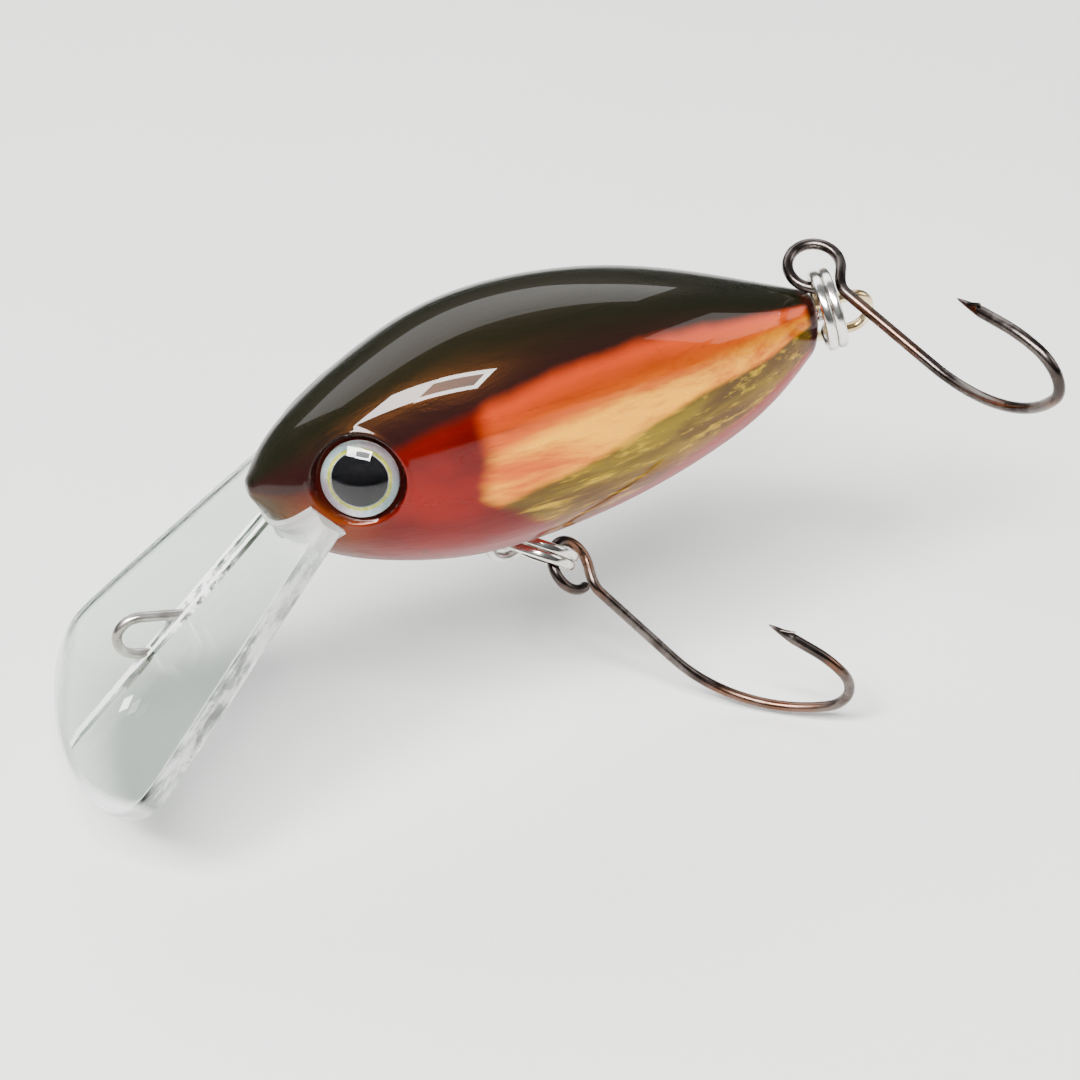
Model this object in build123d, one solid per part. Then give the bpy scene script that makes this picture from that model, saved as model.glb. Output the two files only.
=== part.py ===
from build123d import *
import math
import os

os.makedirs("parts", exist_ok=True)

# A small diving lure for fly-weight tackle: two hollow body shells, a clear
# diving lip, wire hangers, split rings and two single hooks.
# It is modelled with the nose at x = 0, the tail towards +X, the back towards
# +Z and the left flank at -Y. On export everything moves so that the centre of
# the line-tie loop is the origin.

# ---- driving dimensions, in millimetres and degrees ----
body_length = 38.0
body_width = 13.5
back_height = 8.4
belly_depth = 8.6
section_power = 2.3
wall = 1.1

head_solid_length = 9.0
cavity_end_margin = 5.5

lip_root_x = 3.9
lip_root_z = -1.4
lip_angle = 43.7
lip_root_half_width = 5.2
lip_flare = 0.227
lip_straight_length = 19.6
lip_reach = 24.6
lip_thickness = 1.5
lip_rib_width = 1.5
lip_rib_height = 0.35
tongue_length = 2.8
tongue_half_width = 2.4
bead_size = 0.45
bead_reach = 5.0

tie_wire_diameter = 0.66
tie_rear_leg = 11.5
tie_front_leg = 14.9
tie_lean = 32.0
tie_front_leg_length = 1.5
tie_anchor_run = 3.2
tie_bend_radius = 0.75

hanger_wire_diameter = 0.66
hanger_foot = 1.6
hanger_foot_radius = 0.7
belly_hanger_x = 16.4
belly_hanger_width = 2.4
belly_hanger_drop = 3.2
belly_hanger_anchor = 2.6
tail_hanger_z = 0.68
tail_hanger_width = 2.5
tail_hanger_reach = 4.1
tail_hanger_anchor = 3.6

# where the hanging pieces lie at rest: directions are along +X, +Y and +Z
tail_ring_centre = (38.46, -1.32, 2.35)
tail_ring_axis = (0.962, -0.196, 0.192)
tail_hook_eye = (38.54, 0.88, 4.29)
tail_hook_shank = (0.386, -0.870, -0.306)
tail_hook_gap = (-0.101, -0.369, 0.924)
belly_ring_centre = (18.32, -0.66, -11.35)
belly_ring_axis = (0.558, 0.483, 0.674)
belly_hook_eye = (20.15, -1.66, -12.47)
belly_hook_shank = (0.574, -0.311, -0.757)
belly_hook_gap = (0.568, -0.514, 0.642)

ring_outer_diameter = 5.25
ring_wire_height = 0.52
ring_coil_width = 0.65
ring_coil_merge = 0.03
ring_slit_width = 0.12
ring_slit_angle = 24.0

hook_wire_diameter = 0.72
hook_eye_radius = 1.7
hook_shank = 8.6
hook_bend_radii = (9.0, 2.4, 7.1)
hook_bend_turns = (73.0, 103.0, 21.0)
hook_point_run = 3.6
hook_taper = 1.9
hook_tip_radius = 0.04
barb_height = 0.42
barb_length = 1.0
barb_thickness = 0.26
barb_from_tip = 1.7

eye_x = 5.9
eye_z = 1.1
eye_diameter = 4.8
eye_film_thickness = 0.16
eye_skirt = 0.35
eye_dome_height = 0.85
eye_socket_clearance = 0.45
eye_socket_depth = 1.0
eye_turn_forward = 26.0
eye_turn_up = 20.0

keel_front = 8.0
keel_back = 20.6
keel_top = -3.0
ballast_x = 11.6
ballast_z = -5.0
ballast_diameter = 3.2
ballast_length = 5.4

ball_diameter = 3.2
ball_travel = 2.6
ball_clearance = 0.12
chamber_x = 22.6
chamber_z = -0.6
chamber_wall = 0.8
web_half_width = 2.5

foil_thickness = 0.25
foil_front = 13.5
foil_back = 31.5
foil_inner_limit = 2.8
foil_edge_rise = 0.36
foil_edge_start = -0.6

pin_diameter = 1.4
pin_length = 1.2
pin_clearance = 0.08

# ---- the body's outline: share of the length, then shares of the back's
# height, the belly's depth and the half width at that station ----
body_stations = (
    (0.000, -0.05, 0.10, 0.05),
    (0.012, 0.04, 0.23, 0.17),
    (0.035, 0.17, 0.40, 0.32),
    (0.100, 0.41, 0.68, 0.58),
    (0.220, 0.72, 0.895, 0.84),
    (0.360, 0.95, 1.00, 1.00),
    (0.500, 1.00, 0.98, 0.99),
    (0.650, 0.91, 0.87, 0.89),
    (0.800, 0.70, 0.68, 0.69),
    (0.920, 0.48, 0.42, 0.44),
    (1.000, 0.34, 0.14, 0.20),
)
section_points = 9


def station_at(x):
    """Interpolates the body's top, bottom and half width at x."""
    share = min(max(x / body_length, 0.0), 1.0)
    for before, after in zip(body_stations, body_stations[1:]):
        if share <= after[0]:
            blend = (share - before[0]) / (after[0] - before[0])
            top, bottom, width = (before[i] + blend * (after[i] - before[i]) for i in (1, 2, 3))
            break
    return top * back_height, -bottom * belly_depth, width * body_width / 2


def half_section(x, side, inset):
    """One half of the body's cross-section at x, moved inwards by inset, as a closed wire."""
    top, bottom, half_width = station_at(x)
    top, bottom, half_width = top - inset, bottom + inset, half_width - inset
    middle, half_height = (top + bottom) / 2, (top - bottom) / 2
    power = 2 / section_power
    points = []
    for step in range(section_points):
        angle = math.pi / 2 - math.pi * step / (section_points - 1)
        across, up = math.cos(angle), math.sin(angle)
        y = side * half_width * max(across, 0.0) ** power
        z = middle + half_height * math.copysign(abs(up) ** power, up)
        points.append(Vector(x, y, z))
    curve = Edge.make_spline(points, tangents=[Vector(0, side, 0), Vector(0, -side, 0)])
    return Wire([curve, Edge.make_line(points[-1], points[0])])


def half_body(side, inset, start, end):
    """Half of the body between two stations, with a flat face on the middle plane."""
    stations = [share * body_length for share, _, _, _ in body_stations]
    inner = [x for x in stations if start + 0.6 < x < end - 0.6]
    return Solid.make_loft([half_section(x, side, inset) for x in [start, *inner, end]])


# ---- wires: a round wire along straight runs joined by arcs, in one plane ----
def bent_wire(plane, points, radii, diameter):
    path = plane * FilletPolyline(*points, radius=radii)
    return sweep((path ^ 0) * Circle(diameter / 2), path=path)


def loop_wire(plane, leg_spacing, reach, anchor, foot, diameter):
    """A U-shaped hanger: it points along +Y of the plane and its feet lie at -Y."""
    half = leg_spacing / 2
    end_radius = half - 0.02
    points = [
        (-half - foot, -anchor),
        (-half, -anchor),
        (-half, reach),
        (half, reach),
        (half, -anchor),
        (half + foot, -anchor),
    ]
    radii = [hanger_foot_radius, end_radius, end_radius, hanger_foot_radius]
    return bent_wire(plane, points, radii, diameter)


# ---- frames of reference ----
middle_plane = Plane(origin=(0, 0, 0), x_dir=(1, 0, 0), z_dir=(0, -1, 0))
lip_slope = math.radians(lip_angle)
lip_forward = Vector(-math.cos(lip_slope), 0, -math.sin(lip_slope))
lip_up = Vector(-math.sin(lip_slope), 0, math.cos(lip_slope))
lip_root = Vector(lip_root_x, 0, lip_root_z)
lip_plane = Plane(origin=lip_root, x_dir=lip_forward, z_dir=lip_up)
tie_plane = Plane(origin=lip_root, x_dir=lip_forward, z_dir=(0, 1, 0))


def tie_points():
    """The line tie's route along the lip, as distances forward and up from the lip's root."""
    lean = math.radians(90 - tie_lean)
    along, up = math.cos(lean), math.sin(lean)
    spacing = tie_front_leg - tie_rear_leg
    rear_length = tie_front_leg_length + spacing * along
    height = lip_rib_height / 2
    radius = spacing * up / 2
    rear_top = (tie_rear_leg + rear_length * along, height + rear_length * up)
    front_top = (tie_front_leg + tie_front_leg_length * along, height + tie_front_leg_length * up)
    rear_far = (rear_top[0] + radius * along, rear_top[1] + radius * up)
    front_far = (front_top[0] + radius * along, front_top[1] + radius * up)
    centre = ((rear_top[0] + front_top[0]) / 2, (rear_top[1] + front_top[1]) / 2)
    route = [
        (-tongue_length * 0.7, height),
        (tie_rear_leg, height),
        rear_far,
        front_far,
        (tie_front_leg, height),
        (tie_front_leg + tie_anchor_run, height),
    ]
    return route, radius, centre


tie_route, tie_radius, tie_centre = tie_points()
tie_hole_centre = lip_root + lip_forward * tie_centre[0] + lip_up * tie_centre[1]


# ---- sub-parts ----
def make_line_tie():
    radii = [tie_bend_radius, tie_radius - 0.02, tie_radius - 0.02, tie_bend_radius * 0.7]
    return bent_wire(tie_plane, tie_route, radii, tie_wire_diameter)


def lip_outline():
    """The lip seen square on: a tongue, flaring edges and a rounded end."""
    flare_width = lip_root_half_width + lip_flare * lip_straight_length
    edge = Polyline(
        (-tongue_length, 0),
        (-tongue_length, tongue_half_width),
        (0, tongue_half_width),
        (0, lip_root_half_width),
        (lip_straight_length, flare_width),
    )
    end_length = lip_reach - lip_straight_length
    end_arc = EllipticalCenterArc(
        (lip_straight_length, 0), end_length, flare_width, start_angle=0, arc_size=90
    )
    half = make_face(Curve() + [edge, end_arc, Line((lip_reach, 0), (-tongue_length, 0))])
    return half + mirror(half, Plane.XZ)


def make_lip(line_tie):
    plate = extrude(lip_outline(), lip_thickness / 2, both=True)
    rib_length = lip_reach - 0.8
    rib_box = Box(rib_length, lip_rib_width, lip_rib_height * 2)
    rib = Pos(rib_length / 2, 0, lip_thickness / 2) * fillet(rib_box.edges().filter_by(Axis.X), 0.3)
    plate = plate + rib
    return (lip_plane.location * plate) - line_tie


def eye_frame(side):
    """The plane of the eye's socket floor, facing outwards."""
    forward, up = math.radians(eye_turn_forward), math.radians(eye_turn_up)
    outward = Vector(
        -math.sin(forward) * math.cos(up), side * math.cos(forward) * math.cos(up), math.sin(up)
    )
    top, bottom, half_width = station_at(eye_x)
    middle, half_height = (top + bottom) / 2, (top - bottom) / 2
    rise = abs((eye_z - middle) / half_height)
    surface_y = half_width * (1 - rise**section_power) ** (1 / section_power)
    floor = Vector(eye_x, side * surface_y, eye_z) - outward * eye_socket_depth
    return Plane(origin=floor, x_dir=outward.cross(Vector(0, 0, 1)), z_dir=outward)


def make_eye_film(side):
    disc = Cylinder(eye_diameter / 2, eye_film_thickness, align=(Align.CENTER, Align.CENTER, Align.MIN))
    return eye_frame(side).location * disc


def make_eye_dome(side):
    """A clear lens: a short straight skirt under a spherical cap."""
    radius = eye_diameter / 2
    skirt_top = eye_film_thickness + eye_skirt
    crown = skirt_top + eye_dome_height
    profile = Polyline((0, crown), (0, eye_film_thickness), (radius, eye_film_thickness), (radius, skirt_top))
    sphere_radius = (radius**2 + eye_dome_height**2) / (2 * eye_dome_height)
    half_angle = math.asin(radius / sphere_radius) / 2
    shoulder = (
        sphere_radius * math.sin(half_angle),
        crown - sphere_radius * (1 - math.cos(half_angle)),
    )
    cap = ThreePointArc((radius, skirt_top), shoulder, (0, crown))
    face = Plane.XZ * make_face(Curve() + [profile, cap])
    return eye_frame(side).location * revolve(face, Axis.Z)


def eye_pocket(side):
    radius = eye_diameter / 2 + eye_socket_clearance
    pocket = Cylinder(radius, eye_socket_depth * 4, align=(Align.CENTER, Align.CENTER, Align.MIN))
    return eye_frame(side).location * pocket


def make_belly_hanger():
    _, belly, _ = station_at(belly_hanger_x)
    plane = Plane(origin=(belly_hanger_x, 0, belly), x_dir=(1, 0, 0), z_dir=(0, 1, 0))
    return loop_wire(
        plane, belly_hanger_width, belly_hanger_drop, belly_hanger_anchor, hanger_foot, hanger_wire_diameter
    )


def make_tail_hanger():
    plane = Plane(origin=(body_length, 0, tail_hanger_z), x_dir=(0, 0, -1), z_dir=(0, -1, 0))
    return loop_wire(
        plane,
        tail_hanger_width,
        tail_hanger_reach,
        tail_hanger_anchor,
        hanger_foot * 0.6,
        hanger_wire_diameter,
    )


def make_split_ring(centre, axis):
    """Two flat coils side by side, joined along their faces and each slit once."""
    middle_radius = ring_outer_diameter / 2 - ring_wire_height / 2
    offset = (ring_coil_width - ring_coil_merge) / 2
    corner = ring_wire_height * 0.3
    profile = Sketch()
    for place in (-offset, offset):
        profile += Pos(middle_radius, place) * RectangleRounded(ring_wire_height, ring_coil_width, corner)
    ring = revolve(Plane.XZ * profile, Axis.Z)
    slit_height = ring_coil_width - ring_coil_merge
    for turn, place in ((ring_slit_angle, offset), (-ring_slit_angle, -offset)):
        slit = Box(ring_wire_height * 1.5, ring_slit_width, slit_height)
        outward = 1 if place > 0 else -1
        slit_middle = outward * (ring_coil_merge + slit_height / 2)
        ring -= Rot(0, 0, turn) * Pos(middle_radius, 0, slit_middle) * slit
    return Plane(origin=centre, z_dir=axis).location * ring


def hook_route():
    """The hook's centre line from the eye to the start of the point's taper."""
    position, heading = (hook_eye_radius, 0.0), 0.0
    line = Line(position, (position[0] + hook_shank, 0))
    curves = [line]
    position = (position[0] + hook_shank, 0.0)
    for radius, turn in zip(hook_bend_radii, hook_bend_turns):
        centre = (
            position[0] - radius * math.sin(math.radians(heading)),
            position[1] + radius * math.cos(math.radians(heading)),
        )
        curves.append(CenterArc(centre, radius, heading - 90, turn))
        heading += turn
        position = (
            centre[0] + radius * math.sin(math.radians(heading)),
            centre[1] - radius * math.cos(math.radians(heading)),
        )
    run = hook_point_run - hook_taper
    end = (
        position[0] + run * math.cos(math.radians(heading)),
        position[1] + run * math.sin(math.radians(heading)),
    )
    curves.append(Line(position, end))
    return curves, end, heading


def make_hook(eye_centre, shank, gap):
    """A single hook lying in its own plane, with its eye turned square to the bend."""
    radius = hook_wire_diameter / 2
    curves, taper_start, heading = hook_route()
    path = Curve() + curves
    wire = sweep((path ^ 0) * Circle(radius), path=path)
    taper_frame = Location((*taper_start, 0), (0, 0, heading)) * Location((0, 0, 0), (0, 90, 0))
    taper = Cone(radius, hook_tip_radius, hook_taper, align=(Align.CENTER, Align.CENTER, Align.MIN))
    inner_edge = barb_from_tip * radius / hook_taper * 0.6
    barb_outline = Polyline(
        (hook_taper - barb_from_tip + barb_length * 0.7, inner_edge * 0.5),
        (hook_taper - barb_from_tip, inner_edge * 0.5),
        (hook_taper - barb_from_tip - barb_length * 0.3, inner_edge + barb_height),
        close=True,
    )
    barb = extrude(make_face(barb_outline), barb_thickness / 2, both=True)
    barb = Location((*taper_start, 0), (0, 0, heading)) * barb
    eye = Rot(90, 0, 0) * Torus(hook_eye_radius, radius)
    hook = wire + taper_frame * taper + barb + eye
    bend_normal = Vector(*shank).cross(Vector(*gap))
    return Plane(origin=eye_centre, x_dir=shank, z_dir=bend_normal).location * hook


def make_ballast():
    return Pos(ballast_x, 0, ballast_z) * Rot(90, 0, 0) * Cylinder(ballast_diameter / 2, ballast_length)


def make_ball():
    return Pos(chamber_x + ball_clearance + ball_diameter / 2, 0, chamber_z) * Sphere(ball_diameter / 2)


def half_space(side, low, high, reach):
    """A box on one side of the middle plane, out to reach."""
    near, far = sorted((0, side * reach))
    corner = Pos(low[0], near, low[1])
    return corner * Box(high[0] - low[0], far - near, high[1] - low[1], align=(Align.MIN,) * 3)


def make_foil(side, cavity):
    """A thin crinkle panel that lines the flank below a rising edge."""
    core = half_body(side, wall + foil_thickness, head_solid_length, body_length - cavity_end_margin)
    skin = cavity - core
    height = back_height + belly_depth
    edge_end = foil_edge_start + foil_edge_rise * (foil_back - foil_front)
    outline = Polyline(
        (foil_front, -height), (foil_back, -height), (foil_back, edge_end), (foil_front, foil_edge_start),
        close=True,
    )
    near, far = sorted((side * foil_inner_limit, side * body_width))
    prism = extrude(Plane.XZ * make_face(outline), far - near)
    prism = Pos(0, far, 0) * prism
    return skin & prism


def make_shell(side, cavity, tools):
    """One half of the body: a skin, a solid head, a keel block and the ball's chamber."""
    outer = half_body(side, 0, 0.0, body_length)
    chamber_length = ball_diameter + ball_travel + 2 * ball_clearance
    chamber_radius = ball_diameter / 2 + ball_clearance
    height = back_height + belly_depth
    keel = half_space(side, (keel_front, -height), (keel_back, keel_top), body_width)
    webs = [
        half_space(side, (x, -height), (x + chamber_wall, height), web_half_width)
        for x in (chamber_x - chamber_wall, chamber_x + chamber_length)
    ]
    tube_length = chamber_length + 2 * chamber_wall
    tube = Pos(chamber_x - chamber_wall + tube_length / 2, 0, chamber_z) * Rot(0, 90, 0)
    tube *= Cylinder(chamber_radius + chamber_wall, tube_length)
    tube &= half_space(side, (0, -height), (body_length, height), body_width)
    bore = Pos(chamber_x + chamber_length / 2, 0, chamber_z) * Rot(0, 90, 0)
    bore *= Cylinder(chamber_radius, chamber_length)
    inside = (keel + webs + tube) & cavity
    shell = (outer - cavity) + inside - bore
    for tool in tools:
        shell -= tool
    return shell


def pin_places():
    """Where the locating pins stand: in the head, in the keel and behind the chamber."""
    return ((7.4, 3.4), (keel_back - 1.5, keel_top - 1.6), (9.0, -5.6))


def add_pins(shell, side):
    for x, z in pin_places():
        radius = pin_diameter / 2
        if side < 0:
            shell += Pos(x, 0, z) * Rot(90, 0, 0) * Cylinder(radius, 2 * pin_length)
        else:
            length = 2 * (pin_length + pin_clearance)
            shell -= Pos(x, 0, z) * Rot(90, 0, 0) * Cylinder(radius + pin_clearance, length)
    return shell


def make_glue_beads(lip, line_tie):
    """Beads of clear adhesive where the lip leaves the chin, above and below the lip."""
    grown = [half_body(side, -bead_size, 0.0, head_solid_length) for side in (-1, 1)]
    solid_body = [half_body(side, 0, 0.0, body_length) for side in (-1, 1)]
    beads = []
    for direction in (1, -1):
        near_face, far_face = lip_thickness / 2, lip_thickness / 2 + bead_size
        band = Box(bead_reach, body_width, far_face - near_face)
        band = lip_plane.location * Pos(bead_reach / 2, 0, direction * (near_face + far_face) / 2) * band
        bead = band & (grown[0] + grown[1])
        for tool in (*solid_body, lip, line_tie, eye_pocket(-1), eye_pocket(1)):
            bead -= tool
        beads.append(bead)
    return beads


# ---- assembly ----
line_tie_wire = make_line_tie()
diving_lip = make_lip(line_tie_wire)
belly_hanger_wire = make_belly_hanger()
tail_hanger_wire = make_tail_hanger()
ballast_weight = make_ballast()
cavity_end = body_length - cavity_end_margin
cavities = {side: half_body(side, wall, head_solid_length, cavity_end) for side in (-1, 1)}
foils = {side: make_foil(side, cavities[side]) for side in (-1, 1)}
shells = {}
for side in (-1, 1):
    cutters = [
        diving_lip,
        line_tie_wire,
        belly_hanger_wire,
        tail_hanger_wire,
        ballast_weight,
        foils[side],
        eye_pocket(side),
    ]
    shells[side] = add_pins(make_shell(side, cavities[side], cutters), side)

glue_beads = make_glue_beads(diving_lip, line_tie_wire)

parts = {
    "body_shell_left": shells[-1],
    "body_shell_right": shells[1],
    "foil_panel_left": foils[-1],
    "foil_panel_right": foils[1],
    "diving_lip": diving_lip,
    "lip_glue_upper": glue_beads[0],
    "lip_glue_lower": glue_beads[1],
    "line_tie_wire": line_tie_wire,
    "belly_hanger_wire": belly_hanger_wire,
    "tail_hanger_wire": tail_hanger_wire,
    "eye_film_left": make_eye_film(-1),
    "eye_film_right": make_eye_film(1),
    "eye_dome_left": make_eye_dome(-1),
    "eye_dome_right": make_eye_dome(1),
    "belly_split_ring": make_split_ring(belly_ring_centre, belly_ring_axis),
    "tail_split_ring": make_split_ring(tail_ring_centre, tail_ring_axis),
    "belly_hook": make_hook(belly_hook_eye, belly_hook_shank, belly_hook_gap),
    "tail_hook": make_hook(tail_hook_eye, tail_hook_shank, tail_hook_gap),
    "ballast_weight": ballast_weight,
    "rattle_ball": make_ball(),
}

to_origin = Pos(-tie_hole_centre.X, 0, -tie_hole_centre.Z)
for name, shape in parts.items():
    export_step(to_origin * shape, f"parts/{name}.step")
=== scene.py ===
import math

import bmesh
import bpy
from mathutils import Matrix, Vector, noise


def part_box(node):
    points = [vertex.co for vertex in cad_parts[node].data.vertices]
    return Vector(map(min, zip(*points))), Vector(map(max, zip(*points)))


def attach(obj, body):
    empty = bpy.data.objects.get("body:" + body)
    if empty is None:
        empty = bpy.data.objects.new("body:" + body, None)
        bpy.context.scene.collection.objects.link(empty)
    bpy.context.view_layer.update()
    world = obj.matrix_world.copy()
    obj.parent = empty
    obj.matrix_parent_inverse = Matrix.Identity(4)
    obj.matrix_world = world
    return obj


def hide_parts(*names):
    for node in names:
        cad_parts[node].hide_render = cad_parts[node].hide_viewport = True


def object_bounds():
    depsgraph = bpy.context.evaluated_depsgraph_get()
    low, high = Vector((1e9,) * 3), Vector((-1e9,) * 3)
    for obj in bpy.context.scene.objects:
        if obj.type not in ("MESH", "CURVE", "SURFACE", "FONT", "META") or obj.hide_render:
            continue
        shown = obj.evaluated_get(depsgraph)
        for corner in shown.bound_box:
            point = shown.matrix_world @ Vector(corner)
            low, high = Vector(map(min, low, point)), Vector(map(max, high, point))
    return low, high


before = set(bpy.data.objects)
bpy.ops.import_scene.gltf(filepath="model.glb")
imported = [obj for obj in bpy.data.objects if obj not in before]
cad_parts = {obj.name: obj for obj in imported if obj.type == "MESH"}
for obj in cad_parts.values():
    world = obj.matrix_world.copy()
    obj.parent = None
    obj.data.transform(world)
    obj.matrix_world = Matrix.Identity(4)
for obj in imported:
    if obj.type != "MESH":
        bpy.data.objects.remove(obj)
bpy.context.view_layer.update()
MM = 0.001

# ---- the body's own frame: nose at x = 0, tail towards +X, millimetres ----
BODY_LENGTH = 38.0
BACK_HEIGHT = 8.4
BELLY_DEPTH = 8.6
HALF_WIDTH = 6.75
ORIGIN = Vector((8.09054, 0.0, 9.80012)) * MM


def place(x, y, z):
    """A point given in the body's frame in millimetres, as a point in the row frame in metres."""
    return ORIGIN + Vector((x, y, z)) * MM


def direction(vector):
    return Vector(vector).normalized()


# ---- small helpers for meshes ----
def new_mesh_object(name, vertices, faces, smooth=True):
    mesh = bpy.data.meshes.new(name)
    mesh.from_pydata([tuple(v) for v in vertices], [], faces)
    mesh.validate()
    mesh.update()
    if smooth:
        mesh.polygons.foreach_set("use_smooth", [True] * len(mesh.polygons))
    piece = bpy.data.objects.new(name, mesh)
    bpy.context.scene.collection.objects.link(piece)
    return piece


def recalculate_normals(piece):
    work = bmesh.new()
    work.from_mesh(piece.data)
    bmesh.ops.recalc_face_normals(work, faces=work.faces)
    work.to_mesh(piece.data)
    work.free()
    piece.data.update()


def sharpen(piece, degrees):
    """Marks edges steeper than an angle as sharp, so that flats stay crisp."""
    work = bmesh.new()
    work.from_mesh(piece.data)
    limit = math.radians(degrees)
    for edge in work.edges:
        if len(edge.link_faces) == 2 and edge.calc_face_angle(0) > limit:
            edge.smooth = False
    work.to_mesh(piece.data)
    work.free()


def add_attribute(piece, name, values):
    attribute = piece.data.attributes.new(name, "FLOAT", "POINT")
    attribute.data.foreach_set("value", values)


def grid_faces(rows, columns, closed):
    faces = []
    across = columns if closed else columns - 1
    for row in range(rows - 1):
        for column in range(across):
            after = (column + 1) % columns
            faces.append((
                row * columns + column,
                row * columns + after,
                (row + 1) * columns + after,
                (row + 1) * columns + column,
            ))
    return faces


def tube(name, points, radii, sides=20, profile=None, up=None):
    """A closed tube along points, with turning kept smooth from point to point."""
    vertices = []
    tangents = []
    for index, point in enumerate(points):
        before = points[max(index - 1, 0)]
        after = points[min(index + 1, len(points) - 1)]
        tangents.append((after - before).normalized())
    side = up if up is not None else Vector((0, 0, 1))
    side = (side - tangents[0] * side.dot(tangents[0])).normalized()
    along = []
    travelled = 0.0
    for index, (point, tangent) in enumerate(zip(points, tangents)):
        side = (side - tangent * side.dot(tangent)).normalized()
        other = tangent.cross(side)
        if index:
            travelled += (point - points[index - 1]).length
        for step in range(sides):
            angle = 2 * math.pi * step / sides
            radius = radii[index]
            if profile is not None:
                radius = profile(index, travelled, angle, radius)
            spoke = side * math.cos(angle) + other * math.sin(angle)
            vertices.append(point + spoke * radius)
            along.append(travelled)
    faces = grid_faces(len(points), sides, True)
    for ring, flip in ((0, True), (len(points) - 1, False)):
        centre = len(vertices)
        vertices.append(points[ring])
        along.append(0.0)
        for step in range(sides):
            pair = (ring * sides + step, ring * sides + (step + 1) % sides)
            faces.append((pair[1], pair[0], centre) if flip else (pair[0], pair[1], centre))
    piece = new_mesh_object(name, vertices, faces)
    recalculate_normals(piece)
    sharpen(piece, 50)
    add_attribute(piece, "along", [value / MM for value in along])
    return piece


def arc_points(centre, start, sweep_axis, degrees, steps):
    """Points on an arc that starts at start and turns about an axis through centre."""
    spoke = start - centre
    return [
        centre + Matrix.Rotation(math.radians(degrees) * step / steps, 3, sweep_axis) @ spoke
        for step in range(1, steps + 1)
    ]


def bezier_points(a, b, c, d, steps):
    points = []
    for step in range(1, steps + 1):
        t = step / steps
        points.append(
            a * (1 - t) ** 3 + b * (3 * t * (1 - t) ** 2) + c * (3 * t * t * (1 - t)) + d * t**3
        )
    return points


def rounded_route(corners, radii, steps=8):
    """Straight runs joined by arcs, as a list of points, with one radius per inner corner."""
    points = [corners[0]]
    for index, radius in enumerate(radii, start=1):
        corner = corners[index]
        back = (corners[index - 1] - corner).normalized()
        ahead = (corners[index + 1] - corner).normalized()
        half = back.angle(ahead) / 2
        reach = radius / math.tan(half)
        centre = corner + (back + ahead).normalized() * (radius / math.sin(half))
        start = corner + back * reach
        turn = 180 - math.degrees(2 * half)
        axis = (corner - start).cross(centre - start).normalized()
        run_start = points[-1]
        for step in range(1, 5):
            points.append(run_start.lerp(start, step / 4))
        points.extend(arc_points(centre, start, axis, turn, steps))
    run_start = points[-1]
    for step in range(1, 7):
        points.append(run_start.lerp(corners[-1], step / 6))
    return points


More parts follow.
